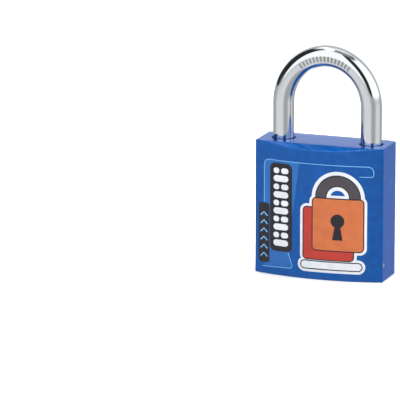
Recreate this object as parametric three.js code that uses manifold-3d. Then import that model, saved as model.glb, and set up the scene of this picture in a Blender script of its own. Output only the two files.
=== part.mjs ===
// A closed 40 mm padlock with a sprung shackle, a five-pin cylinder and two locking bolts.
// Millimetres. +Z is up, +X is towards the heel (long) leg of the shackle, -Y is the front.
// The origin is the centre of the body's bottom face. The plug is modelled turned to its open
// position, so the bolts are drawn in; turning it back by a quarter locks the shackle.
import * as THREE from 'three';
import Module from 'manifold-3d';
import { mergeVertices } from 'three/addons/utils/BufferGeometryUtils.js';

const wasm = await Module();
wasm.setup();

// ---------- driving dimensions ----------
const bodyWidth = 40;
const bodyHeight = 40.4;
const sideThickness = 12.1; // front to back along the flat sides
const faceBow = 3.1; // how far the front and back bulge beyond the side edges
const edgeRadius = 0.45;
const endRounding = 0.3; // on the edges of the top and bottom faces
const bevelStart = 0.6; // from the side edge's line to the bevel's upper edge
const bevelAngle = 29; // degrees below level

const shackleRadius = 3.2;
const legInset = 6.3; // mean distance from a side face to a leg's axis
const lockOffset = 0.5; // shackle and cylinder sit this far towards the heel side
const shackleHoleGap = 0.35; // radial, between a leg and its hole
const holeChamfer = 0.35;
const clearHeight = 22.3; // from the body's top to the inside of the crown
const archStretch = 1.08; // rise of the arch over half the leg spacing
const legEndChamfer = 0.7;

const plugRadius = 5.5;
const plugRecess = 0.2; // of the plug's face above the body's bottom face
const runningGap = 0.05; // radial, for everything that turns or slides in a bore
const pressGap = 0.02; // radial, for pieces fixed in a hole
const restGap = 0.1; // between pieces that push on each other
const faceChamfer = 0.35;

const grooveWall = 0.7; // metal between the retaining groove and the first pin chamber
const chamberWall = 0.9; // metal between neighbouring pin chambers
const slotWall = 0.55; // metal between the last chamber and the tongue slot
const chamberFloor = 1.6; // how far a chamber runs past the plug's axis
const keyPinLengths = [5.0, 4.2, 5.8, 4.6, 5.4];
const driverLength = 5;
const chamberPlugLength = 3.7;
const chamberPlugRecess = 0.1;
const pinTip = 0.6; // depth of the pointed end of a key pin
const pinTipRadius = 0.5;
const pinChamfer = 0.2;

const keyFloorWall = 2.1; // from the plug's surface to the end of the keyway on the chamber side
const keyMouthWall = 0.9; // from the plug's surface to the end of the keyway on the other side
const keyHalfWidth = 1.0;
const wardDepth = 0.5;
const wardHalfHeight = 0.55;
const wardPositions = [-1.4, 1.9]; // along the keyway from the plug's axis, one on each wall

const retainerRadius = 0.75;
const retainerHeight = 4.9;
const retainerEdge = 1.55; // from the retaining pin's axis to the front edge of the side face
const retainerReach = 5; // how far the pin runs on past the plug's axis
const retainerRecess = 0.05;
const grooveGap = 0.15; // around a pin in its groove

const topWall = 4.4; // from the body's top to the top of the bolt bore
const boltRadius = 2.5;
const boltEngagement = 1.3; // how far a thrown bolt reaches into a leg
const toeRetreat = 0.15; // a drawn toe bolt stands this far clear of its leg
const heelHold = 0.4; // a drawn heel bolt still reaches this far into its leg's path
const notchGap = 0.15; // around a bolt's nose in a notch
const landHeight = 1.9; // solid leg left beyond a notch
const toeFloorGap = 0.4; // under the toe leg
const liftClearance = 0.5; // toe leg to body top when the shackle is up
const crossBoreWall = 0.35; // between the cross bore's plug and the toe leg's hole

const actuatorGap = 0.3; // between the plug's end and the actuator
const actuatorBase = 2.8; // solid disc below the bolt pockets
const actuatorTop = 0.7; // from the top of a bolt to the top of the actuator
const tongueWidth = 2.2;
const tongueWall = 1.2; // from the plug's surface to the end of the tongue
const tongueDepth = 1.8;
const tongueGap = 0.1;

const springSpace = 9.4; // from the floor of the heel leg's hole to the leg
const shackleSpringWire = 0.35;
const shackleSpringGap = 0.25; // between coils and pocket wall
const shackleSpringTurns = 7;
const driverSpringWire = 0.17;
const driverSpringTurns = 6;
const springGap = 0.02; // at the ends of a spring and between its closed turns

// ---------- derived dimensions ----------
const halfWidth = bodyWidth / 2;
const halfSide = sideThickness / 2;
const halfDepth = halfSide + faceBow;
const legHalfSpacing = halfWidth - legInset;
const heelX = lockOffset + legHalfSpacing;
const toeX = lockOffset - legHalfSpacing;
const holeRadius = shackleRadius + shackleHoleGap;

const archRise = legHalfSpacing * archStretch;
const archBase = bodyHeight + clearHeight + shackleRadius - archRise;

const boltBoreRadius = boltRadius + runningGap;
const boltHeight = bodyHeight - topWall - boltBoreRadius;
const plugBoreRadius = plugRadius + runningGap;
const actuatorRadius = plugRadius - runningGap;
const thrownReach = legHalfSpacing - shackleRadius + boltEngagement;
const boltLength = thrownReach - actuatorRadius;
const thrownTail = actuatorRadius + boltRadius; // axis to the centre of a thrown bolt's round tail
const toeThrow = boltEngagement + toeRetreat;
const heelThrow = boltEngagement - heelHold;
const noseCentre = thrownReach - boltRadius; // axis to the centre of a thrown bolt's round nose

const toeEnd = boltHeight - boltRadius - notchGap - landHeight;
const lift = bodyHeight - toeEnd + liftClearance;
const neckHeight = boltHeight - lift;
const heelEnd = neckHeight - boltRadius - notchGap - landHeight;
const heelFloor = heelEnd - springSpace;

const actuatorFloor = boltHeight - boltRadius - notchGap - actuatorBase;
const actuatorCeiling = boltHeight + boltRadius + actuatorTop;
const plugTop = actuatorFloor - actuatorGap;

const retainerY = retainerEdge - halfSide;
const retainerEnd = lockOffset - retainerReach;
const grooveRadius = -retainerY - retainerRadius - grooveGap;
const grooveLow = retainerHeight - retainerRadius - grooveGap;
const grooveHigh = retainerHeight + retainerRadius + grooveGap;

const chambersLow = grooveHigh + grooveWall;
const chambersHigh = plugTop - tongueDepth - tongueGap - slotWall;
const pinCount = keyPinLengths.length;
const chamberRadius = (chambersHigh - chambersLow - (pinCount - 1) * chamberWall) / (2 * pinCount);
const pinRadius = chamberRadius - runningGap;
const pinPitch = 2 * chamberRadius + chamberWall;
const pinHeights = keyPinLengths.map((_, i) => chambersLow + chamberRadius + pinPitch * i);

const shearDistance = Math.sqrt(plugRadius ** 2 - pinRadius ** 2) - restGap;
const driverInner = lockOffset - plugRadius - restGap;
const driverOuter = driverInner - driverLength;
const chamberPlugOuter = -halfWidth + chamberPlugRecess;
const chamberPlugInner = chamberPlugOuter + chamberPlugLength;

// ---------- facet counts ----------
const rodFacets = 28;
const archSteps = 36;
const boreFacets = 48;
const smallFacets = 20;
const noseSteps = 7;
const bowSteps = 22;
const cornerSteps = 4;
const endRoundingSteps = 2;
const pocketSteps = 12;
const shackleSpringFacets = { turn: 16, wire: 3 };
const driverSpringFacets = { turn: 10, wire: 2 };

const overrun = 1; // how far a cutting tool runs past the face it cuts
const weldDistance = 1e-4; // vertices closer than this are one
const quarterTurn = Math.PI / 2;
const turnToLock = quarterTurn;

// ---------- helpers ----------
function toSolid(geometry) {
  const bare = geometry.clone();
  bare.deleteAttribute('normal');
  bare.deleteAttribute('uv');
  const merged = mergeVertices(bare, weldDistance);
  return new wasm.Manifold(new wasm.Mesh({
    numProp: 3,
    vertProperties: new Float32Array(merged.attributes.position.array),
    triVerts: new Uint32Array(merged.index.array),
  }));
}

function toGeometry(solid) {
  const mesh = solid.getMesh();
  const geometry = new THREE.BufferGeometry();
  geometry.setAttribute('position', new THREE.BufferAttribute(new Float32Array(mesh.vertProperties), 3));
  geometry.setIndex(new THREE.BufferAttribute(new Uint32Array(mesh.triVerts), 1));
  return geometry;
}

function cut(geometry, ...tools) {
  return toGeometry(tools.reduce((solid, tool) => solid.subtract(toSolid(tool)), toSolid(geometry)));
}

function join(geometry, ...others) {
  return toGeometry(others.reduce((solid, other) => solid.add(toSolid(other)), toSolid(geometry)));
}

// Points [x, y] round an arc, both ends included.
function arc(x, y, radius, start, end, steps) {
  const points = [];
  for (let i = 0; i <= steps; i += 1) {
    const angle = start + ((end - start) * i) / steps;
    points.push([x + radius * Math.cos(angle), y + radius * Math.sin(angle)]);
  }
  return points;
}

// A solid of revolution about Z; each profile point is [radius, height]. Repeated points are dropped.
function turned(profile, facets) {
  const points = profile.map(([radius, height]) => new THREE.Vector2(radius, height));
  const kept = points.filter((point, i) => i === 0 || point.distanceTo(points[i - 1]) > weldDistance);
  return new THREE.LatheGeometry(kept, facets).rotateX(quarterTurn);
}

// A plain or chamfered rod about Z from low to high.
function rod(radius, low, high, facets, chamfer = 0) {
  return turned([[0, low], [radius - chamfer, low], [radius, low + chamfer],
    [radius, high - chamfer], [radius - chamfer, high], [0, high]], facets);
}

// Lays a piece made about Z along X, its height becoming the x coordinate.
function alongX(geometry, y, z) {
  return geometry.rotateY(quarterTurn).translate(0, y, z);
}

function shapeOf(points) {
  return new THREE.Shape(points.map(([x, y]) => new THREE.Vector2(x, y)));
}

// A closed outline in plan, carried from low to high.
function prism(points, low, high) {
  const options = { depth: high - low, bevelEnabled: false };
  return new THREE.ExtrudeGeometry(shapeOf(points), options).translate(0, 0, low);
}

function block(x0, x1, y0, y1, z0, z1) {
  const box = new THREE.BoxGeometry(x1 - x0, y1 - y0, z1 - z0);
  return box.translate((x0 + x1) / 2, (y0 + y1) / 2, (z0 + z1) / 2);
}

// A coil about Z with closed ends: the pitch is one wire thickness in the first and last turn.
class Coil extends THREE.Curve {
  constructor(coilRadius, wire, low, high, turns) {
    super();
    Object.assign(this, { coilRadius, wire, low, high, turns });
  }

  getUtoTmapping(u) {
    return u;
  }

  getPoint(t) {
    const turn = t * this.turns;
    const start = this.low + this.wire;
    const travel = this.high - this.low - 2 * this.wire;
    const closed = 2 * this.wire + springGap;
    const open = (travel - 2 * closed) / (this.turns - 2);
    const height = start + closed * Math.min(turn, 1)
      + open * Math.min(Math.max(turn - 1, 0), this.turns - 2)
      + closed * Math.max(turn - this.turns + 1, 0);
    const angle = 2 * Math.PI * turn;
    return new THREE.Vector3(this.coilRadius * Math.cos(angle), this.coilRadius * Math.sin(angle), height);
  }
}

function spring(coilRadius, wire, low, high, turns, facets) {
  const section = new THREE.Shape().absarc(0, 0, wire, 0, 2 * Math.PI);
  const path = new Coil(coilRadius, wire, low, high, turns);
  return new THREE.ExtrudeGeometry(section, {
    steps: turns * facets.turn, curveSegments: facets.wire, extrudePath: path,
  });
}

// ---------- body ----------
// Outline in plan: bowed front and back, flat sides, rounded corners.
function bodyOutline() {
  const bowRadius = (halfWidth ** 2 + faceBow ** 2) / (2 * faceBow);
  const bowCentre = halfDepth - bowRadius;
  const cornerX = halfWidth - edgeRadius;
  const sweep = Math.asin(cornerX / (bowRadius - edgeRadius));
  const cornerY = bowCentre + (bowRadius - edgeRadius) * Math.cos(sweep);
  const bow = arc(0, bowCentre, bowRadius, quarterTurn - sweep, quarterTurn + sweep, bowSteps);
  const half = [
    ...arc(cornerX, cornerY, edgeRadius, 0, quarterTurn - sweep, cornerSteps),
    ...bow.slice(1, -1),
    ...arc(-cornerX, cornerY, edgeRadius, quarterTurn + sweep, 2 * quarterTurn, cornerSteps),
  ];
  return [...half, ...half.map(([x, y]) => [-x, -y])];
}

function bodyBlock() {
  return new THREE.ExtrudeGeometry(shapeOf(bodyOutline()), {
    depth: bodyHeight - 2 * endRounding,
    bevelEnabled: true,
    bevelThickness: endRounding,
    bevelSize: endRounding,
    bevelOffset: -endRounding,
    bevelSegments: endRoundingSteps,
  }).translate(0, 0, endRounding);
}

// The wedge taken off the top of the front (side = -1) or the back (side = 1).
function topBevel(side) {
  const start = halfSide + bevelStart;
  const inner = start - overrun;
  const outer = halfDepth + overrun;
  const fall = Math.tan(THREE.MathUtils.degToRad(bevelAngle));
  const profile = shapeOf([[inner, bodyHeight + overrun * fall], [outer, bodyHeight - (outer - start) * fall],
    [outer, bodyHeight + overrun], [inner, bodyHeight + overrun]]);
  const wedge = new THREE.ExtrudeGeometry(profile, { depth: bodyWidth + 2 * overrun, bevelEnabled: false });
  wedge.rotateY(quarterTurn).rotateX(quarterTurn).translate(-halfWidth - overrun, 0, 0);
  return side > 0 ? wedge : wedge.rotateZ(Math.PI);
}

function shackleHole(x, floor) {
  return turned([[0, floor], [holeRadius, floor], [holeRadius, bodyHeight - holeChamfer],
    [holeRadius + holeChamfer + overrun, bodyHeight + overrun], [0, bodyHeight + overrun]], rodFacets)
    .translate(x, 0, 0);
}

function body() {
  const chambers = pinHeights.map((z) => alongX(
    rod(chamberRadius, -halfWidth - overrun, lockOffset - plugRadius + overrun, smallFacets), 0, z));
  const boltBore = alongX(rod(boltBoreRadius, -halfWidth - overrun, heelX, rodFacets), 0, boltHeight);
  const plugBore = turned([[0, -overrun], [plugBoreRadius + faceChamfer + overrun, -overrun],
    [plugBoreRadius, faceChamfer], [plugBoreRadius, actuatorCeiling + actuatorGap],
    [0, actuatorCeiling + actuatorGap]], boreFacets).translate(lockOffset, 0, 0);
  const retainerHole = alongX(
    rod(retainerRadius + pressGap, retainerEnd - restGap, halfWidth + overrun, smallFacets),
    retainerY, retainerHeight);
  return cut(bodyBlock(), topBevel(-1), topBevel(1), shackleHole(toeX, toeEnd - toeFloorGap),
    shackleHole(heelX, heelFloor), plugBore, boltBore, retainerHole, ...chambers);
}

// ---------- shackle ----------
// Centre line from the heel end, over the arch, to the toe end.
class ShackleLine extends THREE.Curve {
  getUtoTmapping(u) {
    return u;
  }

  getPoint(t) {
    const place = t * (archSteps + 2) - 1;
    if (place < 0) {
      return new THREE.Vector3(heelX, 0, THREE.MathUtils.lerp(archBase, heelEnd, -place));
    }
    if (place > archSteps) {
      return new THREE.Vector3(toeX, 0, THREE.MathUtils.lerp(archBase, toeEnd, place - archSteps));
    }
    const angle = (Math.PI * place) / archSteps;
    return new THREE.Vector3(
      lockOffset + legHalfSpacing * Math.cos(angle), 0, archBase + archRise * Math.sin(angle));
  }
}

// A ring that takes the corner off the lower end of a leg.
function legEndRing(x, end) {
  const inner = [shackleRadius - legEndChamfer - overrun, end - overrun];
  const outer = [shackleRadius + overrun, end - overrun];
  const upper = [shackleRadius + overrun, end + legEndChamfer + overrun];
  return turned([inner, outer, upper, inner], rodFacets).translate(x, 0, 0);
}

function boltNotch(x) {
  const sphere = new THREE.SphereGeometry(boltRadius + notchGap, rodFacets, rodFacets / 2);
  return sphere.translate(x, 0, boltHeight);
}

// The turned neck the heel bolt drops into when the shackle is up.
function heelNeck() {
  const ring = legHalfSpacing - noseCentre;
  const profile = arc(ring, neckHeight, boltRadius + notchGap, 0, 2 * Math.PI, rodFacets);
  return turned(profile, rodFacets).translate(heelX, 0, 0);
}

// The flat on the heel leg that runs past the tip of the drawn heel bolt as the shackle lifts.
function slideFlat() {
  const edge = heelX - shackleRadius;
  return block(edge - overrun, edge + heelHold + notchGap, -shackleRadius, shackleRadius,
    neckHeight, boltHeight);
}

function shackle() {
  const section = new THREE.Shape().absarc(0, 0, shackleRadius, 0, 2 * Math.PI);
  const bent = new THREE.ExtrudeGeometry(section, {
    steps: archSteps + 2, curveSegments: rodFacets, extrudePath: new ShackleLine(),
  });
  return cut(bent, legEndRing(heelX, heelEnd), legEndRing(toeX, toeEnd), heelNeck(), slideFlat(),
    boltNotch(lockOffset + noseCentre), boltNotch(lockOffset - noseCentre));
}

// ---------- plug and actuator ----------
// The plug and key pins are drawn locked, with the chambers towards -X, then turned open.
function turnOpen(geometry) {
  return geometry.rotateZ(turnToLock).translate(lockOffset, 0, 0);
}

// The keyway's outline runs along X from its floor to its mouth, with one ward on each wall.
function keyway() {
  const floor = keyFloorWall - plugRadius;
  const mouth = plugRadius - keyMouthWall;
  const [lowWard, highWard] = wardPositions;
  const wardWidth = keyHalfWidth - wardDepth;
  return prism([[floor, -keyHalfWidth],
    [highWard - wardHalfHeight, -keyHalfWidth], [highWard - wardHalfHeight, -wardWidth],
    [highWard + wardHalfHeight, -wardWidth], [highWard + wardHalfHeight, -keyHalfWidth],
    [mouth, -keyHalfWidth], [mouth, keyHalfWidth],
    [lowWard + wardHalfHeight, keyHalfWidth], [lowWard + wardHalfHeight, wardWidth],
    [lowWard - wardHalfHeight, wardWidth], [lowWard - wardHalfHeight, keyHalfWidth],
    [floor, keyHalfWidth]], plugRecess - overrun, plugTop + overrun);
}

function plug() {
  const core = turned([[0, plugRecess], [plugRadius - faceChamfer, plugRecess],
    [plugRadius, plugRecess + faceChamfer], [plugRadius, grooveLow], [grooveRadius, grooveLow],
    [grooveRadius, grooveHigh], [plugRadius, grooveHigh], [plugRadius, plugTop], [0, plugTop]], boreFacets);
  const chambers = pinHeights.map((z) => alongX(
    rod(chamberRadius, -plugRadius - overrun, chamberFloor, smallFacets), 0, z));
  const slot = block(-tongueWidth / 2 - tongueGap, tongueWidth / 2 + tongueGap,
    -plugRadius - overrun, plugRadius + overrun, plugTop - tongueDepth - tongueGap, plugTop + overrun);
  return turnOpen(cut(core, keyway(), slot, ...chambers));
}

// The space one bolt's round tail sweeps in the turning actuator. The tail's distance from the axis
// grows evenly with the turn, so the pocket's wall is the parallel curve of an Archimedean spiral.
function boltPocket(throwLength, towards) {
  const reach = boltRadius + restGap;
  const outside = 2 * plugRadius;
  const drawn = thrownTail - throwLength;
  const growth = throwLength / turnToLock;
  const at = (distance, angle) => [distance * Math.cos(angle), distance * Math.sin(angle)];
  const beside = ([x, y], angle) => [x + reach * Math.cos(angle), y + reach * Math.sin(angle)];
  const wall = [];
  for (let i = 0; i <= pocketSteps; i += 1) {
    const turn = turnToLock * (1 - i / pocketSteps);
    const distance = drawn + growth * turn;
    const lean = Math.atan2(growth, distance);
    wall.push(beside(at(distance, towards + turn), towards + turn + Math.PI - lean));
  }
  const centre = at(drawn, towards);
  const lastLean = Math.atan2(growth, drawn);
  const end = arc(...centre, reach, towards + Math.PI - lastLean, towards + 3 * quarterTurn, pocketSteps);
  const edge = end[end.length - 1];
  const far = at(outside, towards);
  const clear = [
    [edge[0] + far[0], edge[1] + far[1]],
    at(Math.SQRT2 * outside, towards + turnToLock / 2),
    at(outside, towards + turnToLock),
  ];
  return prism([...wall, ...end.slice(1), ...clear], actuatorFloor + actuatorBase, actuatorCeiling + overrun);
}

function actuator() {
  const tongueReach = plugRadius - tongueWall;
  const drum = rod(actuatorRadius, actuatorFloor, actuatorCeiling, boreFacets, faceChamfer);
  const tongue = block(-tongueReach, tongueReach, -tongueWidth / 2, tongueWidth / 2,
    plugTop - tongueDepth, actuatorFloor + actuatorBase / 2);
  return cut(join(drum, tongue), boltPocket(heelThrow, 0), boltPocket(toeThrow, Math.PI))
    .translate(lockOffset, 0, 0);
}

// ---------- locking bolts ----------
// Lies along X, its tail at the given distance from the cylinder's axis, and points +X or -X.
// Both ends are round, as far as the bolt's length leaves room for.
function bolt(tail, direction) {
  const nose = tail + boltLength;
  const capDepth = Math.min(boltRadius, boltLength / 2);
  const capAngle = Math.acos(1 - capDepth / boltRadius);
  const profile = [
    ...arc(0, tail + boltRadius, boltRadius, -quarterTurn, capAngle - quarterTurn, noseSteps),
    ...arc(0, nose - boltRadius, boltRadius, quarterTurn - capAngle, quarterTurn, noseSteps),
  ];
  const piece = alongX(turned(profile, rodFacets), 0, 0);
  return (direction > 0 ? piece : piece.rotateZ(Math.PI)).translate(lockOffset, 0, boltHeight);
}

// ---------- pins and small fixed pieces ----------
function keyPin(length, z) {
  const tip = -shearDistance + length;
  const profile = [[0, -shearDistance], [pinRadius - pinChamfer, -shearDistance],
    [pinRadius, -shearDistance + pinChamfer], [pinRadius, tip - pinTip], [pinTipRadius, tip], [0, tip]];
  return turnOpen(alongX(turned(profile, smallFacets), 0, z));
}

function driverPin(z) {
  return alongX(rod(pinRadius, driverOuter, driverInner, smallFacets, pinChamfer), 0, z);
}

function driverSpring(z) {
  const coilRadius = pinRadius - 2 * driverSpringWire;
  return alongX(spring(coilRadius, driverSpringWire, chamberPlugInner + springGap,
    driverOuter - springGap, driverSpringTurns, driverSpringFacets), 0, z);
}

function chamberPlug(z) {
  return alongX(rod(chamberRadius - pressGap, chamberPlugOuter, chamberPlugInner, smallFacets), 0, z);
}

function crossBorePlug() {
  const inner = toeX - holeRadius - crossBoreWall;
  return alongX(rod(boltBoreRadius - pressGap, chamberPlugOuter, inner, rodFacets), 0, boltHeight);
}

function plugRetainer() {
  return alongX(rod(retainerRadius, retainerEnd, halfWidth - retainerRecess, smallFacets),
    retainerY, retainerHeight);
}

function shackleSpring() {
  const coilRadius = holeRadius - shackleSpringGap - shackleSpringWire;
  return spring(coilRadius, shackleSpringWire, heelFloor + springGap, heelEnd - springGap,
    shackleSpringTurns, shackleSpringFacets).translate(heelX, 0, 0);
}

// ---------- materials ----------
const finishes = {
  coating: { color: 0x2f63ae, roughness: 0.25, metalness: 0.1 },
  chrome: { color: 0xd9dcdf, roughness: 0.08, metalness: 1 },
  brass: { color: 0xc9a54c, roughness: 0.35, metalness: 1 },
  nickel: { color: 0xb9b5a8, roughness: 0.3, metalness: 1 },
  steel: { color: 0x9a9da1, roughness: 0.35, metalness: 1 },
  springSteel: { color: 0x83878c, roughness: 0.3, metalness: 1 },
};

// ---------- assembly ----------
const group = new THREE.Group();
group.name = 'padlock';

function add(name, geometry, finish) {
  const mesh = new THREE.Mesh(geometry, new THREE.MeshStandardMaterial({ ...finishes[finish], name }));
  mesh.name = name;
  group.add(mesh);
}

add('body', body(), 'coating');
add('shackle', shackle(), 'chrome');
add('shackle_spring', shackleSpring(), 'springSteel');
add('plug', plug(), 'nickel');
add('plug_retaining_pin', plugRetainer(), 'steel');
add('actuator', actuator(), 'steel');
add('toe_bolt', bolt(actuatorRadius - toeThrow, -1), 'steel');
add('heel_bolt', bolt(actuatorRadius - heelThrow, 1), 'steel');
add('cross_bore_plug', crossBorePlug(), 'coating');
pinHeights.forEach((z, i) => {
  add(`key_pin_${i + 1}`, keyPin(keyPinLengths[i], z), 'brass');
  add(`driver_pin_${i + 1}`, driverPin(z), 'brass');
  add(`driver_spring_${i + 1}`, driverSpring(z), 'springSteel');
  add(`chamber_plug_${i + 1}`, chamberPlug(z), 'coating');
});

export default group;
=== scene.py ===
"""A closed blue padlock with a chromed shackle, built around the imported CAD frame."""

import math

import bmesh
import bpy
from mathutils import Matrix, Vector


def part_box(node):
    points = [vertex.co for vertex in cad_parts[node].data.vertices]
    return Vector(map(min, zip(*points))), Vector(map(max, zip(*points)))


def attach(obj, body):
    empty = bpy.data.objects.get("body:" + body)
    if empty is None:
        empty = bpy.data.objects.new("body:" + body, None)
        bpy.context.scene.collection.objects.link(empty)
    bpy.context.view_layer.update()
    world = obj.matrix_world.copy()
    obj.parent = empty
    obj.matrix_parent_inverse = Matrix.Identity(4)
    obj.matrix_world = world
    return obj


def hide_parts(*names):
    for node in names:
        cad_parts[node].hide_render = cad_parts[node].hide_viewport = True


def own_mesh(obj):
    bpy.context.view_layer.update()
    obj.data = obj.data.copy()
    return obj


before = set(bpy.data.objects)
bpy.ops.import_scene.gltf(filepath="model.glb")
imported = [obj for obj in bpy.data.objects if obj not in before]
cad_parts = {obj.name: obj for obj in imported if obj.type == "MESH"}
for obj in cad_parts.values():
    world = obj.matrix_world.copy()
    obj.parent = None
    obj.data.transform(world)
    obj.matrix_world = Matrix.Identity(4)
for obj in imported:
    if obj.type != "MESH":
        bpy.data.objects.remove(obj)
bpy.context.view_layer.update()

MM = 0.001  # the shapes below are worked out in millimetres, then scaled to metres
PIN_COUNT = 5


def box_mm(node):
    """Lowest and highest corner of a CAD node in millimetres."""
    low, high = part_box(node)
    return Vector(low) / MM, Vector(high) / MM


# ---------- sizes, from the frame where it has them ----------
body_low, body_high = box_mm("body")
HALF_WIDTH = body_high.x
HALF_DEPTH = body_high.y
HEIGHT = body_high.z
SIDE_THICKNESS = 12.1
CORNER_RADIUS = 0.45
EDGE_ROUNDING = 0.28
BEVEL_START = 0.6  # how far outside the sides' thickness the top bevels start
BEVEL_ANGLE = math.radians(29)
PRINT_STEP = 0.018  # thickness of one layer of ink
PRINT_LEVELS = 7
FRONT_DEPTH = HALF_DEPTH - PRINT_STEP * PRINT_LEVELS
RUNNING_GAP = 0.05
PRESS_GAP = 0.01  # round what is pressed into the body

shackle_low, shackle_high = box_mm("shackle")
ROD_RADIUS = shackle_high.y
TOE_X = shackle_low.x + ROD_RADIUS
HEEL_X = shackle_high.x - ROD_RADIUS
HEEL_END = shackle_low.z
TOE_END = 28.9
LEG_ROUNDING = 0.7
LIFT = 12.0
HALF_SPACING = (HEEL_X - TOE_X) / 2
CENTRE_X = (HEEL_X + TOE_X) / 2
ARCH_STRETCH = 1.08
ARCH_RISE = HALF_SPACING * ARCH_STRETCH
ARCH_BASE = shackle_high.z - ROD_RADIUS - ARCH_RISE
HOLE_CLEARANCE = 0.35
HOLE_RADIUS = ROD_RADIUS + HOLE_CLEARANCE
TOE_END_GAP = 0.4
TOE_FLOOR = TOE_END - TOE_END_GAP

spring_low, spring_high = box_mm("shackle_spring")
HEEL_FLOOR = spring_low.z - RUNNING_GAP

bolt_low, bolt_high = box_mm("toe_bolt")
BOLT_RADIUS = bolt_high.y
BOLT_HEIGHT = (bolt_low.z + bolt_high.z) / 2
BOLT_BORE = BOLT_RADIUS + RUNNING_GAP
BOLT_ENGAGEMENT = 1.3
NOSE_CENTRE = HALF_SPACING - ROD_RADIUS + BOLT_ENGAGEMENT - BOLT_RADIUS
NOTCH_CLEARANCE = 0.15
NOTCH_RADIUS = BOLT_RADIUS + NOTCH_CLEARANCE
NECK_HEIGHT = BOLT_HEIGHT - LIFT  # where the heel bolt meets the leg with the shackle up
SLIDE_FLAT_DEPTH = 0.55

plug_low, plug_high = box_mm("plug")
PLUG_RADIUS = (plug_high.x - plug_low.x) / 2
PLUG_BORE = PLUG_RADIUS + RUNNING_GAP
PLUG_BORE_TOP = 36.95
FACE_CHAMFER = 0.35


# ---------- mesh helpers ----------
def mesh_from(bm, name):
    """Turns a bmesh made in millimetres into a smooth-shaded object in metres."""
    bmesh.ops.recalc_face_normals(bm, faces=bm.faces)
    mesh = bpy.data.meshes.new(name)
    bm.to_mesh(mesh)
    bm.free()
    mesh.transform(Matrix.Scale(MM, 4))
    for polygon in mesh.polygons:
        polygon.use_smooth = True
    obj = bpy.data.objects.new(name, mesh)
    bpy.context.collection.objects.link(obj)
    return obj


def skin(bm, rings):
    """Joins rings of vertices in order and closes both ends; a ring of one vertex is a point."""
    for lower, upper in zip(rings, rings[1:]):
        count = max(len(lower), len(upper))
        for i in range(count):
            j = (i + 1) % count
            corners = [lower[i % len(lower)], lower[j % len(lower)],
                       upper[j % len(upper)], upper[i % len(upper)]]
            unique = list(dict.fromkeys(corners))
            bm.faces.new(unique)
    for ring in (rings[0], rings[-1]):
        if len(ring) > 2:
            bm.faces.new(ring)


NO_RADIUS = 1e-6


def ring_of(bm, centre, across, along, radius, segments):
    """A ring of vertices round centre, in the plane of across and along; no radius gives one vertex."""
    if radius < NO_RADIUS:
        return [bm.verts.new(centre)]
    turns = [2 * math.pi * i / segments for i in range(segments)]
    return [bm.verts.new(centre + radius * (math.cos(a) * across + math.sin(a) * along)) for a in turns]


AXES = {
    "X": (Vector((1, 0, 0)), Vector((0, 1, 0)), Vector((0, 0, 1))),
    "Y": (Vector((0, 1, 0)), Vector((0, 0, 1)), Vector((1, 0, 0))),
    "Z": (Vector((0, 0, 1)), Vector((1, 0, 0)), Vector((0, 1, 0))),
}


def turned(name, profile, origin, axis="Z", segments=64):
    """A solid of revolution; profile points are (radius, distance along the axis)."""
    direction, across, along = AXES[axis]
    bm = bmesh.new()
    rings = [ring_of(bm, origin + direction * height, across, along, radius, segments)
             for radius, height in profile]
    skin(bm, rings)
    return mesh_from(bm, name)


def round_end(radius, rounding, end, inward, steps=4):
    """Profile points of a rounded rod end, from the flat of the end to the side."""
    points = []
    for i in range(steps + 1):
        angle = math.pi / 2 * i / steps
        points.append((radius - rounding + rounding * math.sin(angle),
                       end + inward * rounding * (1 - math.cos(angle))))
    return points


def rod_profile(radius, low, high, rounding):
    """Profile of a rod whose two ends are rounded alike."""
    lower = round_end(radius, rounding, low, 1)
    upper = round_end(radius, rounding, high, -1)
    return [(0, low)] + lower + upper[::-1] + [(0, high)]


def prism(name, outline, low, high):
    """An upright solid with the same plan, as (x, y) points, from low to high."""
    bm = bmesh.new()
    skin(bm, [[bm.verts.new((x, y, z)) for x, y in outline] for z in (low, high)])
    return mesh_from(bm, name)


def apply_modifiers(obj):
    """Puts the result of every modifier of obj into its mesh."""
    depsgraph = bpy.context.evaluated_depsgraph_get()
    depsgraph.update()
    mesh = bpy.data.meshes.new_from_object(obj.evaluated_get(depsgraph), depsgraph=depsgraph)
    obj.modifiers.clear()
    obj.data = mesh


def cut(obj, tools):
    """Cuts each tool out of obj and removes the tools."""
    for tool in tools:
        modifier = obj.modifiers.new("cut", "BOOLEAN")
        modifier.operation = "DIFFERENCE"
        modifier.solver = "EXACT"
        modifier.object = tool
    apply_modifiers(obj)
    for tool in tools:
        bpy.data.objects.remove(tool)
    for polygon in obj.data.polygons:
        polygon.use_smooth = True


SHARP_ANGLE = math.radians(35)  # edges that turn by more than this are rounded


def soften(obj, width, segments):
    """Rounds the sharp edges of obj and shades its flats flat."""
    bevel = obj.modifiers.new("soften", "BEVEL")
    bevel.width = width * MM
    bevel.segments = segments
    bevel.limit_method = "ANGLE"
    bevel.angle_limit = SHARP_ANGLE
    bevel.use_clamp_overlap = False
    bevel.miter_outer = "MITER_ARC"
    shading = obj.modifiers.new("shading", "WEIGHTED_NORMAL")
    shading.keep_sharp = True


def keep_crisp(obj, angle):
    """Marks as sharp the edges of obj that turn by about this angle."""
    within = math.radians(1)
    bm = bmesh.new()
    bm.from_mesh(obj.data)
    for edge in bm.edges:
        if edge.is_manifold and abs(edge.calc_face_angle() - angle) < within:
            edge.smooth = False
    bm.to_mesh(obj.data)
    bm.free()


CREASE_ANGLE = math.radians(32)


def smooth_by_angle(obj):
    """Shades edges that turn by more than the crease angle as sharp."""
    obj.data.set_sharp_from_angle(angle=CREASE_ANGLE)
    return obj


def finish_piece(obj, body, material, slot, *nodes):
    """Gives obj its material and body, and hides the CAD nodes it stands in for; slot is not used."""
    obj.data.materials.clear()
    obj.data.materials.append(material)
    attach(obj, body)
    if nodes:
        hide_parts(*nodes)


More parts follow.
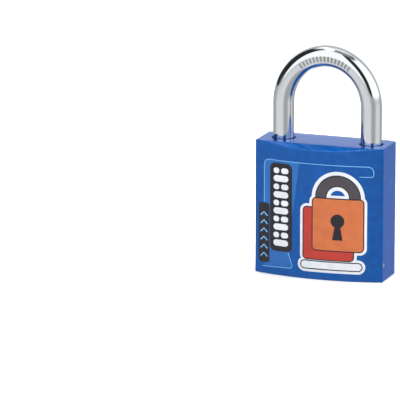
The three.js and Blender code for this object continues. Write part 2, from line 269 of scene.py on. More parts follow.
# ---------- material helpers ----------
NOISE_ROUGHNESS = 0.55
NOISE_LOW, NOISE_HIGH = 0.3, 0.7  # most of a noise lies between these


class Nodes:
    """Builds one material's node tree; sockets are set on the main shader, with _ for a space."""

    def __init__(self, name, metallic, **sockets):
        self.material = bpy.data.materials.new(name)
        self.material.use_nodes = True
        self.tree = self.material.node_tree
        self.shader = self.tree.nodes["Principled BSDF"]
        self.shader.inputs["Metallic"].default_value = metallic
        for socket, value in sockets.items():
            self.shader.inputs[socket.replace("_", " ")].default_value = value
        self.coordinates = self.tree.nodes.new("ShaderNodeTexCoord")

    def link(self, source, target):
        """Joins an output socket to an input socket."""
        self.tree.links.new(source, target)

    def noise(self, scale, detail, stretch=(1, 1, 1)):
        """Noise in object space; scale is in features per metre, stretch multiplies it per axis."""
        mapping = self.tree.nodes.new("ShaderNodeMapping")
        mapping.inputs["Scale"].default_value = stretch
        self.link(self.coordinates.outputs["Object"], mapping.inputs["Vector"])
        noise = self.tree.nodes.new("ShaderNodeTexNoise")
        noise.inputs["Scale"].default_value = scale
        noise.inputs["Detail"].default_value = detail
        noise.inputs["Roughness"].default_value = NOISE_ROUGHNESS
        self.link(mapping.outputs["Vector"], noise.inputs["Vector"])
        return noise.outputs["Fac"]

    def ramp(self, factor, stops):
        """A colour ramp; stops are (position, colour)."""
        ramp = self.tree.nodes.new("ShaderNodeValToRGB")
        elements = ramp.color_ramp.elements
        while len(elements) < len(stops):
            elements.new(0.5)
        for element, (position, colour) in zip(elements, stops):
            element.position = position
            element.color = (*colour, 1)
        self.link(factor, ramp.inputs["Fac"])
        return ramp.outputs["Color"]

    def spread(self, factor, low, high):
        """Maps a noise factor to a range of numbers."""
        node = self.tree.nodes.new("ShaderNodeMapRange")
        node.inputs["From Min"].default_value = NOISE_LOW
        node.inputs["From Max"].default_value = NOISE_HIGH
        node.inputs["To Min"].default_value = low
        node.inputs["To Max"].default_value = high
        self.link(factor, node.inputs["Value"])
        return node.outputs["Result"]

    def colour(self, source):
        """Drives the base colour."""
        self.link(source, self.shader.inputs["Base Color"])

    def colour_between(self, factor, low_colour, high_colour):
        """Lets a noise factor drive the base colour between two colours."""
        self.colour(self.ramp(factor, [(NOISE_LOW, low_colour), (NOISE_HIGH, high_colour)]))

    def roughness(self, source):
        """Drives the roughness."""
        self.link(source, self.shader.inputs["Roughness"])

    def bump(self, height, distance, socket="Normal"):
        """Adds relief; distance is the height of the relief in metres."""
        node = self.tree.nodes.new("ShaderNodeBump")
        node.inputs["Strength"].default_value = 1.0
        node.inputs["Distance"].default_value = distance
        target = self.shader.inputs[socket]
        if target.links:
            self.link(target.links[0].from_socket, node.inputs["Normal"])
        self.link(height, node.inputs["Height"])
        self.link(node.outputs["Normal"], target)


def tint(colour, factor):
    """A colour made darker or lighter, held at full brightness."""
    return tuple(min(1.0, c * factor) for c in colour)


def coating_material():
    """Clear blue lacquer over brushed metal."""
    blue = (0.006, 0.092, 0.365)
    nodes = Nodes("blue_lacquer", 0.55, Coat_Weight=1.0, Coat_Roughness=0.03, Coat_IOR=1.3,
                  Specular_IOR_Level=0.0, Specular_Tint=(0.15, 0.4, 1.0, 1.0))
    grain = nodes.noise(420, detail=3, stretch=(0.3, 5, 5))
    mottle = nodes.noise(420, detail=5)
    nodes.colour_between(mottle, tint(blue, 0.88), tint(blue, 1.14))
    nodes.roughness(nodes.spread(grain, 0.28, 0.34))
    nodes.bump(grain, 0.4e-6)
    nodes.bump(nodes.noise(900, detail=1), 0.6e-6, socket="Coat Normal")
    return nodes.material


def chrome_material():
    """Bright chrome plate with faint lengthwise polishing marks."""
    nodes = Nodes("chrome_plate", 1.0)
    smudge = nodes.noise(160, detail=4)
    lines = nodes.noise(700, detail=3, stretch=(6, 6, 0.4))
    nodes.colour_between(smudge, (0.68, 0.695, 0.71), (0.72, 0.735, 0.75))
    nodes.roughness(nodes.spread(lines, 0.035, 0.085))
    nodes.bump(lines, 0.4e-6)
    return nodes.material


def bare_metal(name, colour, roughness, scratch_stretch):
    """Machined metal with fine tool marks and slight tarnish."""
    nodes = Nodes(name, 1.0)
    tarnish = nodes.noise(300, detail=5)
    marks = nodes.noise(900, detail=4, stretch=scratch_stretch)
    stops = [(0.25, tint(colour, 0.72)), (0.6, colour), (0.8, tint(colour, 1.1))]
    nodes.colour(nodes.ramp(tarnish, stops))
    nodes.roughness(nodes.spread(marks, roughness * 0.75, roughness * 1.35))
    nodes.bump(marks, 3e-6)
    return nodes.material


def ink_material(name, colour):
    """Screen-printed ink under the lacquer: slightly uneven, with a soft grain."""
    nodes = Nodes(name, 0.0, Coat_Weight=0.6, Coat_Roughness=0.05, Specular_IOR_Level=0.1)
    grain = nodes.noise(2600, detail=2)
    uneven = nodes.noise(240, detail=4)
    nodes.colour_between(uneven, tint(colour, 0.9), tint(colour, 1.08))
    nodes.roughness(nodes.spread(grain, 0.34, 0.5))
    nodes.bump(grain, 1.2e-6)
    return nodes.material


COATING = coating_material()
CHROME = chrome_material()
NICKEL = bare_metal("nickel_plug", (0.58, 0.55, 0.49), 0.30, (1, 1, 0.2))
BRASS = bare_metal("turned_brass", (0.62, 0.42, 0.14), 0.28, (0.3, 0.3, 3))
# The stamped marks are darker than the chrome as painted shade of stamped lettering, and rougher.
SHADED_STAMP_METAL = bare_metal("stamped_marks_painted_shade", (0.42, 0.44, 0.40), 0.30, (1, 1, 1))
STEEL = bare_metal("ground_steel", (0.44, 0.45, 0.46), 0.30, (2, 2, 2))
SPRING_STEEL = bare_metal("spring_wire", (0.33, 0.34, 0.36), 0.26, (1, 1, 1))


# ---------- body ----------
def bow(depth):
    """Radius of the bowed face and the distance of its centre behind the body's middle plane."""
    rise = depth - SIDE_THICKNESS / 2
    radius = (HALF_WIDTH ** 2 + rise ** 2) / (2 * rise)
    return radius, radius - depth


def body_outline(bow_steps=72, corner_steps=5):
    """Plan of the body: the front is drawn back a little to leave room for the print."""
    bow_radius, centre = bow(HALF_DEPTH)
    reach = bow_radius - CORNER_RADIUS
    across = HALF_WIDTH - CORNER_RADIUS
    sweep = math.asin(across / reach)
    depth = reach * math.cos(sweep) - centre
    quarter = []
    for i in range(corner_steps):
        angle = (math.pi / 2 - sweep) * i / corner_steps
        quarter.append((across + CORNER_RADIUS * math.cos(angle), depth + CORNER_RADIUS * math.sin(angle)))
    for i in range(bow_steps // 2 + 1):
        angle = sweep * (1 - 2 * i / bow_steps)
        quarter.append((bow_radius * math.sin(angle), bow_radius * math.cos(angle) - centre))
    back = quarter + [(-x, y) for x, y in quarter[-2::-1]]
    front = [(-x, -y + HALF_DEPTH - FRONT_DEPTH) for x, y in back]
    return back + front


def cut_top_bevels(obj):
    """Takes the wedges off the front and back of the top."""
    bm = bmesh.new()
    bm.from_mesh(obj.data)
    start = SIDE_THICKNESS / 2 + BEVEL_START
    for side in (-1, 1):
        normal = Vector((0, side * math.sin(BEVEL_ANGLE), math.cos(BEVEL_ANGLE)))
        point = Vector((0, side * start, HEIGHT)) * MM
        geometry = bm.verts[:] + bm.edges[:] + bm.faces[:]
        made = bmesh.ops.bisect_plane(bm, geom=geometry, plane_co=point, plane_no=normal,
                                      clear_outer=True, dist=1e-8)
        rim = [e for e in made["geom_cut"] if isinstance(e, bmesh.types.BMEdge)]
        bmesh.ops.edgenet_fill(bm, edges=rim)
    bmesh.ops.recalc_face_normals(bm, faces=bm.faces)
    bm.to_mesh(obj.data)
    bm.free()


def hole_tool(radius, low, high, origin, axis="Z", segments=64):
    """A cylinder to cut a hole with."""
    return turned("hole", [(0, low), (radius, low), (radius, high), (0, high)], origin, axis, segments)


def cross_hole_tool(node, low, high):
    """A cylinder along X round a piece that is pressed into the body."""
    node_low, node_high = box_mm(node)
    middle = (node_low + node_high) / 2
    radius = (node_high.z - node_low.z) / 2 + PRESS_GAP
    return hole_tool(radius, low, high, Vector((0, middle.y, middle.z)), "X", 40)


def body_tools():
    """Cylinders for every bore in the body; over is how far they pass its surface."""
    over = 2.0
    tools = [
        hole_tool(HOLE_RADIUS, HEEL_FLOOR, HEIGHT + over, Vector((HEEL_X, 0, 0))),
        hole_tool(HOLE_RADIUS, TOE_FLOOR, HEIGHT + over, Vector((TOE_X, 0, 0))),
        hole_tool(PLUG_BORE, -over, PLUG_BORE_TOP, Vector((CENTRE_X, 0, 0))),
        hole_tool(BOLT_BORE, -HALF_WIDTH - over, HEEL_X, Vector((0, 0, BOLT_HEIGHT)), "X"),
    ]
    for i in range(1, PIN_COUNT + 1):
        tools.append(cross_hole_tool(f"chamber_plug_{i}", -HALF_WIDTH - over, CENTRE_X))
    pin_low, pin_high = box_mm("plug_retaining_pin")
    pin_end_gap = 0.1
    tools.append(cross_hole_tool("plug_retaining_pin", pin_low.x - pin_end_gap, HALF_WIDTH + over))
    return tools


def make_body():
    """The lacquered body with all its bores; the top bevels' upper edges stay crisp."""
    body = prism("body_shell", body_outline(), 0, HEIGHT)
    cut_top_bevels(body)
    cut(body, body_tools())
    keep_crisp(body, BEVEL_ANGLE)
    soften(body, EDGE_ROUNDING, segments=3)
    finish_piece(body, "case", COATING, "coating", "body")


# ---------- shackle ----------
def arch_point(angle):
    """The middle of the rod in the arch; the angle starts over the heel leg."""
    return Vector((CENTRE_X + HALF_SPACING * math.cos(angle), 0, ARCH_BASE + ARCH_RISE * math.sin(angle)))


def shackle_stations():
    """Points along the rod as (centre, tangent, radius), heel end first."""
    up = Vector((0, 0, 1))
    stations = []
    for radius, height in round_end(ROD_RADIUS, LEG_ROUNDING, HEEL_END, 1, steps=6):
        stations.append((Vector((HEEL_X, 0, height)), up, radius))
    ring = HALF_SPACING - NOSE_CENTRE
    opening = math.acos((ring - ROD_RADIUS) / NOTCH_RADIUS)
    neck_steps = 20
    for i in range(neck_steps + 1):
        angle = opening * (2 * i / neck_steps - 1)
        radius = ring - NOTCH_RADIUS * math.cos(angle)
        stations.append((Vector((HEEL_X, 0, NECK_HEIGHT + NOTCH_RADIUS * math.sin(angle))), up, radius))
    arch_steps = 120
    for i in range(arch_steps + 1):
        angle = math.pi * i / arch_steps
        tangent = Vector((-HALF_SPACING * math.sin(angle), 0, ARCH_RISE * math.cos(angle))).normalized()
        stations.append((arch_point(angle), tangent, ROD_RADIUS))
    for radius, height in round_end(ROD_RADIUS, LEG_ROUNDING, TOE_END, 1, steps=6)[::-1]:
        stations.append((Vector((TOE_X, 0, height)), -up, radius))
    return stations


def notch_tool(x):
    """A ball to cut a bolt's notch with."""
    bm = bmesh.new()
    bmesh.ops.create_uvsphere(bm, u_segments=64, v_segments=32, radius=NOTCH_RADIUS)
    bmesh.ops.translate(bm, verts=bm.verts, vec=Vector((x, 0, BOLT_HEIGHT)))
    return mesh_from(bm, "notch")


def make_shackle():
    """One bent rod, turned down to a neck in the heel leg and notched for the bolts."""
    bm = bmesh.new()
    rear = Vector((0, 1, 0))
    rings = [ring_of(bm, centre, rear.cross(tangent), rear, radius, 96)
             for centre, tangent, radius in shackle_stations()]
    skin(bm, rings)
    shackle = mesh_from(bm, "shackle_rod")
    over = 1.0
    edge = HEEL_X - ROD_RADIUS
    floor = edge + SLIDE_FLAT_DEPTH
    reach = ROD_RADIUS + over
    flat_outline = [(edge - over, -reach), (floor, -reach), (floor, reach), (edge - over, reach)]
    flat = prism("flat", flat_outline, NECK_HEIGHT, BOLT_HEIGHT)
    cut(shackle, [notch_tool(CENTRE_X + NOSE_CENTRE), notch_tool(CENTRE_X - NOSE_CENTRE), flat])
    smooth_by_angle(shackle)
    finish_piece(shackle, "shackle", CHROME, "chrome", "shackle")


def make_crown_marks():
    """A plain raised row of upright bars round the front of the crown, in place of lettering; their darker
    metal is painted shade of stamped lettering.
    """
    count = 15
    start, end = math.radians(56), math.radians(124)
    for i in range(count):
        angle = start + (end - start) * i / (count - 1)
        outward = Vector((math.cos(angle) * ARCH_RISE, 0, math.sin(angle) * HALF_SPACING)).normalized()
        make_crown_mark(f"crown_mark_{i + 1}", arch_point(angle), outward)


def make_crown_mark(name, centre, outward):
    """One bar with rounded ends, wrapped round the rod's front; lean shifts it towards the arch's inside."""
    length, half_width, height, lean = 1.9, 0.3, 0.14, -0.12
    steps = 10
    front = Vector((0, -1, 0))
    side = outward.cross(front)
    bm = bmesh.new()
    rings = []
    for k in range(steps + 1):
        place = 2 * k / steps - 1
        turn = lean + place * length / 2 / ROD_RADIUS
        proud = front * math.cos(turn) + outward * math.sin(turn)
        swell = math.sqrt(max(0.0, 1 - abs(place) ** 4))
        spot = centre + proud * ROD_RADIUS
        rings.append(ring_of(bm, spot, side * (half_width / height), proud, height * swell, 12))
    skin(bm, rings)
    # The bar's darker metal paints in the shade of stamped lettering.
    finish_piece(mesh_from(bm, name), "shackle", SHADED_STAMP_METAL, "chrome")


# ---------- cylinder ----------
KEY_FLOOR = 3.4
KEY_MOUTH = 4.6
KEY_HALF_WIDTH = 1.0
WARD_DEPTH = 0.5
WARD_HALF = 0.55
WARDS = (-1.4, 1.9)


def keyway_outline():
    """The slot for the key, with a ward in each wall; the first number runs from floor to mouth."""
    low_ward, high_ward = WARDS
    inner = KEY_HALF_WIDTH - WARD_DEPTH
    return [(-KEY_FLOOR, -KEY_HALF_WIDTH), (high_ward - WARD_HALF, -KEY_HALF_WIDTH),
            (high_ward - WARD_HALF, -inner), (high_ward + WARD_HALF, -inner),
            (high_ward + WARD_HALF, -KEY_HALF_WIDTH), (KEY_MOUTH, -KEY_HALF_WIDTH),
            (KEY_MOUTH, KEY_HALF_WIDTH), (low_ward + WARD_HALF, KEY_HALF_WIDTH),
            (low_ward + WARD_HALF, inner), (low_ward - WARD_HALF, inner),
            (low_ward - WARD_HALF, KEY_HALF_WIDTH), (-KEY_FLOOR, KEY_HALF_WIDTH)]


def make_plug():
    """Drawn turned open: the keyway's mouth faces the back and the pin chambers the front."""
    bottom, top = plug_low.z, plug_high.z
    dish_depth, dish_edge, rim_width = 0.12, 1.5, 1.2
    groove_radius, groove_low, groove_high = 3.6, 4.0, 5.8
    dish = bottom + dish_depth
    profile = [(0, dish), (PLUG_RADIUS - dish_edge, dish), (PLUG_RADIUS - rim_width, bottom)]
    profile += round_end(PLUG_RADIUS, FACE_CHAMFER, bottom, 1)
    profile += [(PLUG_RADIUS, groove_low), (groove_radius, groove_low), (groove_radius, groove_high),
                (PLUG_RADIUS, groove_high), (PLUG_RADIUS, top), (0, top)]
    plug = turned("plug_core", profile, Vector((CENTRE_X, 0, 0)), segments=96)
    over = 1.0
    keyway = prism("keyway", [(CENTRE_X - v, u) for u, v in keyway_outline()], bottom - over, top + over)
    slot_half, slot_depth = 1.2, 1.9
    slot_left, slot_right = CENTRE_X - PLUG_RADIUS - over, CENTRE_X + PLUG_RADIUS + over
    slot_outline = [(slot_left, -slot_half), (slot_right, -slot_half),
                    (slot_right, slot_half), (slot_left, slot_half)]
    slot = prism("slot", slot_outline, top - slot_depth, top + over)
    tools = [keyway, slot]
    chamber_floor = 1.6
    for i in range(1, PIN_COUNT + 1):
        low, high = box_mm(f"key_pin_{i}")
        middle = (low + high) / 2
        radius = (high.z - low.z) / 2 + RUNNING_GAP
        tools.append(hole_tool(radius, -PLUG_RADIUS - over, chamber_floor,
                               Vector((middle.x, 0, middle.z)), "Y", 40))
    cut(plug, tools)
    soften(plug, 0.07, segments=2)
    finish_piece(plug, "cylinder", NICKEL, "nickel", "plug")


# ---------- turned inner pieces ----------
def along_of(node, axis):
    """A rod-like node's origin on its axis, its ends along the axis and its radius."""
    low, high = box_mm(node)
    index = "XYZ".index(axis)
    middle = (low + high) / 2
    middle[index] = 0
    other = (index + 1) % 3
    return middle, low[index], high[index], (high[other] - low[other]) / 2


def make_rod(node, axis, body, material, slot, rounding, name):
    """A plain round piece with rounded ends that fills the node's box."""
    origin, low, high, radius = along_of(node, axis)
    piece = turned(name, rod_profile(radius, low, high, rounding), origin, axis, 48)
    finish_piece(smooth_by_angle(piece), body, material, slot, node)


def make_key_pin(node):
    """Flat outer end towards the front, pointed end towards the keyway."""
    origin, low, high, radius = along_of(node, "Y")
    end_rounding, cone_length = 0.2, 0.6
    tip_radius, tip_flat, tip_rounding = 0.55, 0.45, 0.04
    profile = [(0, low)] + round_end(radius, end_rounding, low, 1)
    profile += [(radius, high - cone_length), (tip_radius, high - tip_rounding), (tip_flat, high), (0, high)]
    piece = turned(f"{node}_turned", profile, origin, "Y", 48)
    finish_piece(smooth_by_angle(piece), node, BRASS, "brass", node)


CLOSED_PITCH = 2.06  # rise of a spring's closed end turn, over the wire's radius


def coil(name, node, axis, turns, wire, steps_per_turn=40, wire_segments=12):
    """A spring with closed ends that fills the node's box along its axis; wire is its radius."""
    origin, low, high, outer = along_of(node, axis)
    direction, across, along = AXES[axis]
    radius = outer - wire
    closed = CLOSED_PITCH * wire
    opened = (high - low - 2 * wire - 2 * closed) / (turns - 2)
    bm = bmesh.new()
    rings = []
    count = turns * steps_per_turn
    for i in range(count + 1):
        turn = i / steps_per_turn
        height = low + wire + closed * min(turn, 1) + opened * min(max(turn - 1, 0), turns - 2)
        height += closed * max(turn - turns + 1, 0)
        angle = 2 * math.pi * turn
        radial = across * math.cos(angle) + along * math.sin(angle)
        rings.append(ring_of(bm, origin + radial * radius + direction * height, radial, direction,
                             wire, wire_segments))
    skin(bm, rings)
    return mesh_from(bm, name)


def make_bolt(node):
    """A round bolt with a ball-shaped nose at each end."""
    origin, low, high, radius = along_of(node, "X")
    profile = round_end(radius, radius, low, 1, steps=12)
    profile += round_end(radius, radius, high, -1, steps=12)[::-1]
    piece = turned(f"{node}_turned", profile, origin, "X", 64)
    finish_piece(piece, node, STEEL, "steel", node)


def make_inner_pieces():
    """Everything inside the body except the plug and the actuator."""
    make_bolt("toe_bolt")
    make_bolt("heel_bolt")
    make_rod("plug_retaining_pin", "X", "case", STEEL, "steel", 0.15, "retaining_pin_turned")
    make_rod("cross_bore_plug", "X", "case", COATING, "coating", 0.08, "cross_bore_disc")
    spring = coil("shackle_coil", "shackle_spring", "Z", 7, 0.35)
    finish_piece(spring, "case", SPRING_STEEL, "spring_steel", "shackle_spring")
    for i in range(1, PIN_COUNT + 1):
        make_key_pin(f"key_pin_{i}")
        make_rod(f"driver_pin_{i}", "X", f"driver_pin_{i}", BRASS, "brass", 0.2, f"driver_pin_{i}_turned")
        make_rod(f"chamber_plug_{i}", "X", "case", COATING, "coating", 0.06, f"chamber_disc_{i}")
        make_driver_spring(i)


def make_driver_spring(i):
    """The coil between a driver pin and its chamber plug, given a mesh of its own."""
    node = f"driver_spring_{i}"
    spring = coil(f"driver_coil_{i}", node, "X", 6, 0.17, steps_per_turn=28, wire_segments=8)
    finish_piece(spring, "case", SPRING_STEEL, "spring_steel", node)
    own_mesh(spring)


# ---------- printed decoration ----------
def front_surface(x):
    """Y of the body's bowed front at x."""
    radius, centre = bow(HALF_DEPTH)
    return centre - math.sqrt(radius ** 2 - x ** 2) + HALF_DEPTH - FRONT_DEPTH


def print_layer(name, outlines, level, material):
    """Lays flat outlines, as (across, up) points, on the bowed front as one thin layer of ink."""
    strip = 0.8  # the layer is cut into upright strips of this width, so that it can follow the bow
    bm = bmesh.new()
    for outline in outlines:
        bm.faces.new([bm.verts.new((x, 0, z)) for x, z in outline])
    last = int(HALF_WIDTH / strip)
    for i in range(-last, last + 1):
        geometry = bm.verts[:] + bm.edges[:] + bm.faces[:]
        bmesh.ops.bisect_plane(bm, geom=geometry, plane_co=(i * strip, 0, 0), plane_no=(1, 0, 0), dist=1e-5)
    bmesh.ops.triangulate(bm, faces=bm.faces)
    made = bmesh.ops.extrude_face_region(bm, geom=bm.faces[:])
    front = {v for v in made["geom"] if isinstance(v, bmesh.types.BMVert)}
    for vertex in bm.verts:
        proud = PRINT_STEP * level if vertex in front else -PRINT_STEP
        vertex.co.y = front_surface(vertex.co.x) - proud
    piece = mesh_from(bm, name)
    smooth_by_angle(piece)
    finish_piece(piece, "case", material, "coating")


def rounded_box(x0, x1, z0, z1, radius, steps=6):
    """Outline of a rectangle with round corners."""
    points = []
    corners = [(x1 - radius, z1 - radius, 0), (x0 + radius, z1 - radius, 90),
               (x0 + radius, z0 + radius, 180), (x1 - radius, z0 + radius, 270)]
    for x, z, start in corners:
        for i in range(steps + 1):
            angle = math.radians(start + 90 * i / steps)
            points.append((x + radius * math.cos(angle), z + radius * math.sin(angle)))
    return points


def line(points, width):
    """A band of even width along an open run of points."""
    left, right = [], []
    for i, (x, z) in enumerate(points):
        before = Vector(points[max(i - 1, 0)])
        after = Vector(points[min(i + 1, len(points) - 1)])
        direction = (after - before).normalized()
        normal = Vector((-direction.y, direction.x)) * width / 2
        left.append((x + normal.x, z + normal.y))
        right.append((x - normal.x, z - normal.y))
    return left + right[::-1]


def arc(x, z, radius, start, end, steps=10):
    """Points round an arc; angles in degrees."""
    return [(x + radius * math.cos(math.radians(start + (end - start) * i / steps)),
             z + radius * math.sin(math.radians(start + (end - start) * i / steps)))
            for i in range(steps + 1)]


def arch_outline(x, base, top_radius, hole_radius, rise):
    """An upright arch with straight feet, like a plain shackle sign."""
    outer = arc(x, base + rise, top_radius, 0, 180, 24)
    inner = arc(x, base + rise, hole_radius, 180, 0, 20)
    feet = [(x + side * radius, base) for side, radius in
            ((1, top_radius), (-1, top_radius), (-1, hole_radius), (1, hole_radius))]
    return feet[:1] + outer + feet[1:3] + inner + feet[3:]


def make_print():
    """Plain generic shapes in the places and inks of the real print."""
    inks = {
        "white": ink_material("white_ink", (0.71, 0.745, 0.79)),
        "charcoal": ink_material("charcoal_ink", (0.010, 0.009, 0.014)),
        "orange": ink_material("orange_ink", (0.56, 0.145, 0.045)),
        "red": ink_material("red_ink", (0.45, 0.034, 0.021)),
        "grey": ink_material("grey_ink", (0.060, 0.050, 0.062)),
        "pale": ink_material("pale_blue_ink", (0.16, 0.42, 0.75)),
        "sky": ink_material("sky_blue_ink", (0.012, 0.125, 0.42)),
    }
    make_outline_frame(inks)
    make_bands(inks)
    make_padlock_sign(inks)


def make_outline_frame(inks):
    """The thin rounded outline behind the rest of the print, with a slightly brighter field."""
    line_width = 0.22
    left, right, top, hook = -16.8, 17.3, 35.0, 31.9
    left_radius, right_radius, hook_radius, foot_radius = 1.6, 1.7, 0.7, 0.8
    inset = 0.1
    corner = (left + left_radius, top - left_radius)
    field = arc(*corner, left_radius - inset, 180, 90, 6)
    field += [(-5.2, top - inset), (-6.6, 24.0), (-9.0, 8.2), (-7.7, 2.8), (left + inset, 2.4)]
    print_layer("print_field", [field], 1, inks["sky"])
    upper = [(left, 21.9)] + arc(*corner, left_radius, 180, 90)
    upper += arc(right - right_radius, top - right_radius, right_radius, 90, 0)
    upper += arc(right - hook_radius, hook + hook_radius, hook_radius, 0, -90, 5) + [(13.2, hook)]
    lower = [(-17.4, 2.2), (-8.2, 2.6)]
    lower += arc(-8.2, 2.6 + foot_radius, foot_radius, -90, 20, 6) + [(-8.9, 8.0)]
    print_layer("print_outline_upper", [line(upper, line_width)], 2, inks["pale"])
    print_layer("print_outline_lower", [line(lower, line_width)], 2, inks["pale"])


def make_bands(inks):
    """Two dark upright bands: one carries plain white bars, the other pale chevrons."""
    print_layer("print_band_wide", [rounded_box(-14.8, -7.5, 7.4, 34.2, 1.6)], 3, inks["charcoal"])
    print_layer("print_band_narrow", [rounded_box(-18.7, -15.0, 3.4, 21.6, 1.0)], 3, inks["charcoal"])
    bars = []
    bars_left, bars_right, lowest_bar, bar_pitch = -13.6, -8.7, 9.0, 4.9
    gap_left, gap_right = -11.7, -11.1
    for i in range(5):
        base = lowest_bar + bar_pitch * i
        short_low, short_high = base + 2.5, base + 4.2
        bars.append(rounded_box(bars_left, bars_right, base, base + 1.9, 0.95))
        bars.append(rounded_box(bars_left, gap_left, short_low, short_high, 0.8))
        bars.append(rounded_box(gap_right, bars_right, short_low, short_high, 0.8))
    print_layer("print_bars", bars, 4, inks["white"])
    chevrons = []
    lowest_chevron, chevron_pitch, chevron_rise, stroke = 5.2, 2.5, 1.1, 0.42
    for i in range(6):
        base = lowest_chevron + chevron_pitch * i
        chevrons.append(line([(-18.0, base), (-16.85, base + chevron_rise), (-15.7, base)], stroke))
    print_layer("print_chevrons", chevrons, 4, inks["pale"])


def make_padlock_sign(inks):
    """A plain padlock sign with a white border: a block on a foot, an arch and a keyhole."""
    left, right, base, top = -0.8, 14.4, 9.2, 24.8
    middle = (left + right) / 2
    border, outline, shade, corner = 1.1, 0.32, 2.9, 1.0
    foot_left, foot_right, foot_low, foot_high = -4.4, 14.0, 3.4, 5.5
    arch_radius, arch_hole, arch_straight, overlap = 6.9, 3.4, 1.4, 1.0
    arch_foot = top - overlap

    def plate(grow, lean=0.0):
        return rounded_box(left - lean - grow, right - lean + grow, base - lean - grow, top - lean + grow,
                           corner + grow)

    def foot(grow):
        return rounded_box(foot_left - grow, foot_right + grow, foot_low - grow, foot_high + grow,
                           corner + grow)

    def arch(grow):
        return arch_outline(middle, arch_foot, arch_radius + grow, arch_hole - grow, arch_straight)

    print_layer("sign_border_block", [plate(border)], 1, inks["white"])
    print_layer("sign_border_shade", [plate(border, shade)], 2, inks["white"])
    print_layer("sign_border_foot", [foot(border)], 1, inks["white"])
    print_layer("sign_border_arch", [arch(border)], 3, inks["white"])
    print_layer("sign_foot_line", [foot(outline)], 3, inks["charcoal"])
    print_layer("sign_foot", [foot(0)], 4, inks["white"])
    print_layer("sign_shade_line", [plate(outline, shade)], 4, inks["charcoal"])
    print_layer("sign_shade", [plate(0, shade)], 5, inks["red"])
    print_layer("sign_arch_line", [arch(0)], 4, inks["charcoal"])
    print_layer("sign_arch", [arch(-outline)], 5, inks["grey"])
    print_layer("sign_block_line", [plate(outline)], 6, inks["charcoal"])
    print_layer("sign_block", [plate(0)], 7, inks["orange"])
    make_keyhole(inks, middle, (base + top) / 2)


def make_keyhole(inks, x, z):
    """A round head over a flared slot, a trace above the block's ink."""
    head, neck, foot, rise, drop = 2.1, 0.9, 1.6, 1.2, 4.6
    level = PRINT_LEVELS + 0.3
    lean = math.degrees(math.acos(neck / head))
    outline = arc(x, z + rise, head, -lean, 180 + lean, 24) + [(x - foot, z - drop), (x + foot, z - drop)]
    print_layer("sign_keyhole", [outline], level, inks["charcoal"])


# ---------- stage ----------
def floor_material():
    """Pale matt board, very slightly uneven in tone."""
    pale = (0.9, 0.9, 0.9)
    nodes = Nodes("pale_floor", 0.0, Roughness=0.6)
    grain = nodes.noise(30, detail=3)
    nodes.colour_between(grain, tint(pale, 0.99), tint(pale, 1.01))
    return nodes.material


def make_floor():
    """A wide board just below the body's underside."""
    half = 3.0 / MM
    clearance = 0.02 * MM
    bm = bmesh.new()
    bm.faces.new([bm.verts.new((x * half, y * half, 0)) for x, y in ((-1, -1), (1, -1), (1, 1), (-1, 1))])
    floor = mesh_from(bm, "floor")
    floor.location.z = -clearance
    floor.data.materials.append(floor_material())
    floor.visible_glossy = False


def area_light(name, place, size, power):
    """A square light aimed at the body's top, which nothing mirrors."""
    data = bpy.data.lights.new(name, "AREA")
    data.energy = power
    data.size = size
    lamp = bpy.data.objects.new(name, data)
    lamp.location = place
    lamp.rotation_euler = (Vector((0, 0, HEIGHT * MM)) - Vector(place)).to_track_quat("-Z", "Y").to_euler()
    lamp.visible_camera = False
    lamp.visible_glossy = False
    bpy.context.collection.objects.link(lamp)


# The studio as the gloss sees it: (middle azimuth, half its width, lowest, highest, softness, brightness).
# The first five are in degrees. Azimuth 0 is +X and -90 is the front. Later patches cover earlier ones.
STUDIO = [
    (0, 180, -90, 0, 1, 0.50),      # table
    (-118, 42, -90, 0, 14, 0.92),   # table under the front panel
    (0, 26, -20, 0, 12, 0.92),      # table under the side panel
    (87, 8, -90, 0, 6, 1.2),        # table behind
    (95, 52, 0, 70, 5, 0.64),       # back wall
    (110, 34, 4, 26, 4, 0.86),      # lower part of the back wall
    (-111, 34, 1, 90, 3, 1.4),      # front panel
    (-2, 44, 1, 62, 4, 1.45),       # side panel
    (0, 180, 68, 90, 6, 0.35),      # ceiling
    (110, 70, 62, 90, 10, 1.2),     # ceiling panel
    (142, 17, 55, 74, 5, 1.7),      # near corner of the ceiling panel
    (-155, 30, 71, 81, 2, 9.0),     # lamp over the front
]
ROOM = 0.03  # brightness between the patches
FILL = 0.55  # brightness of the light from all round
MIRROR_TINT = (0.97, 0.985, 1, 1)
PATCH_EDGE = 0.001


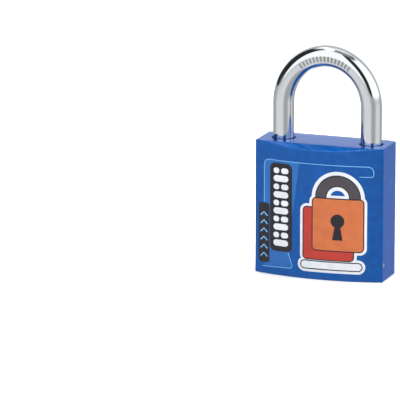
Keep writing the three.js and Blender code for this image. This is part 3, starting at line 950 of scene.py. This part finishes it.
class World:
    """The world's shader: white light, with reflections that see the painted studio."""

    def __init__(self):
        self.world = bpy.data.worlds.new("studio")
        self.world.use_nodes = True
        self.tree = self.world.node_tree
        self.backdrop = self.tree.nodes["Background"]
        self.backdrop.inputs["Color"].default_value = (1, 1, 1, 1)
        direction = self.tree.nodes.new("ShaderNodeTexCoord").outputs["Generated"]
        parts = self.tree.nodes.new("ShaderNodeSeparateXYZ")
        self.tree.links.new(direction, parts.inputs["Vector"])
        level = self.vector("MULTIPLY", direction, (1, 1, 0)).outputs["Vector"]
        self.heading = self.vector("NORMALIZE", level).outputs["Vector"]
        self.rise = parts.outputs["Z"]

    def vector(self, operation, source, other=None):
        """A vector maths node between a socket and a fixed vector."""
        node = self.tree.nodes.new("ShaderNodeVectorMath")
        node.operation = operation
        self.tree.links.new(source, node.inputs[0])
        if other:
            node.inputs[1].default_value = other
        return node

    def step(self, source, low, high):
        """Rises smoothly from 0 at low to 1 at high; falls where low is above high."""
        node = self.tree.nodes.new("ShaderNodeMapRange")
        node.interpolation_type = "SMOOTHSTEP"
        node.inputs["From Min"].default_value = low
        node.inputs["From Max"].default_value = high
        self.tree.links.new(source, node.inputs["Value"])
        return node.outputs["Result"]

    def times(self, a, b):
        """The product of two sockets."""
        node = self.tree.nodes.new("ShaderNodeMath")
        node.operation = "MULTIPLY"
        self.tree.links.new(a, node.inputs[0])
        self.tree.links.new(b, node.inputs[1])
        return node.outputs["Value"]

    def patch(self, azimuth, half, low, high, soft):
        """A mask, 1 inside a patch of the surroundings and 0 outside."""
        turn = math.radians(azimuth)
        middle = (math.cos(turn), math.sin(turn), 0)
        facing = self.vector("DOT_PRODUCT", self.heading, middle).outputs["Value"]
        lowest = math.sin(math.radians(max(low - soft, -90))) - PATCH_EDGE
        highest = math.sin(math.radians(min(high + soft, 90))) + PATCH_EDGE
        above = self.step(self.rise, lowest, math.sin(math.radians(low + soft)))
        below = self.step(self.rise, highest, math.sin(math.radians(high - soft)))
        mask = self.times(above, below)
        if half < 180:
            outer, inner = math.radians(half + soft), math.radians(half - soft)
            mask = self.times(mask, self.step(facing, math.cos(outer), math.cos(inner)))
        return mask

    def paint(self, patches, ground):
        """Mixes the patches over each other, from the first to the last."""
        shade = None
        for *place, brightness in patches:
            mix = self.tree.nodes.new("ShaderNodeMix")
            mix.inputs["A"].default_value = ground
            mix.inputs["B"].default_value = brightness
            if shade:
                self.tree.links.new(shade, mix.inputs["A"])
            self.tree.links.new(self.patch(*place), mix.inputs["Factor"])
            shade = mix.outputs["Result"]
        return shade

    def finish(self, studio, strength):
        """Sends mirrored rays to the studio and all others to white light."""
        self.backdrop.inputs["Strength"].default_value = strength
        mirrored = self.tree.nodes.new("ShaderNodeBackground")
        self.tree.links.new(studio, mirrored.inputs["Strength"])
        mirrored.inputs["Color"].default_value = MIRROR_TINT
        light_path = self.tree.nodes.new("ShaderNodeLightPath")
        mix = self.tree.nodes.new("ShaderNodeMixShader")
        self.tree.links.new(light_path.outputs["Is Glossy Ray"], mix.inputs["Fac"])
        self.tree.links.new(self.backdrop.outputs["Background"], mix.inputs[1])
        self.tree.links.new(mirrored.outputs["Background"], mix.inputs[2])
        self.tree.links.new(mix.outputs["Shader"], self.tree.nodes["World Output"].inputs["Surface"])
        bpy.context.scene.world = self.world


def make_lights():
    """Places in metres, power in watts."""
    world = World()
    world.finish(world.paint(STUDIO, ROOM), FILL)
    area_light("top_light", place=(0.05, 0.1, 1.0), size=1.2, power=20)
    area_light("side_light", place=(0.9, -0.1, 0.5), size=0.7, power=3.4)


def make_camera():
    """Stands where the view has the padlock right of centre, as in a shot with more beside it."""
    aim = Vector((-36.65, -8.38, 21.02)) * MM
    back = Vector((0.34044, -0.91164, 0.23024)).normalized()
    distance = 1300 * MM
    camera = bpy.data.cameras.new("camera")
    camera.lens = 391.9
    camera.sensor_width = 36
    camera.clip_start = 0.05
    stand = bpy.data.objects.new("camera", camera)
    stand.location = aim + back * distance
    stand.rotation_mode = "QUATERNION"
    stand.rotation_quaternion = (-back).to_track_quat("-Z", "Y")
    bpy.context.collection.objects.link(stand)
    bpy.context.scene.camera = stand


def dress_actuator():
    """The actuator keeps its CAD mesh and gets a steel look."""
    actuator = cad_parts["actuator"]
    actuator.data.materials.clear()
    actuator.data.materials.append(STEEL)


make_body()
make_shackle()
make_crown_marks()
make_plug()
make_inner_pieces()
make_print()
dress_actuator()
make_floor()
make_lights()
make_camera()
bpy.context.scene.view_settings.view_transform = "Standard"
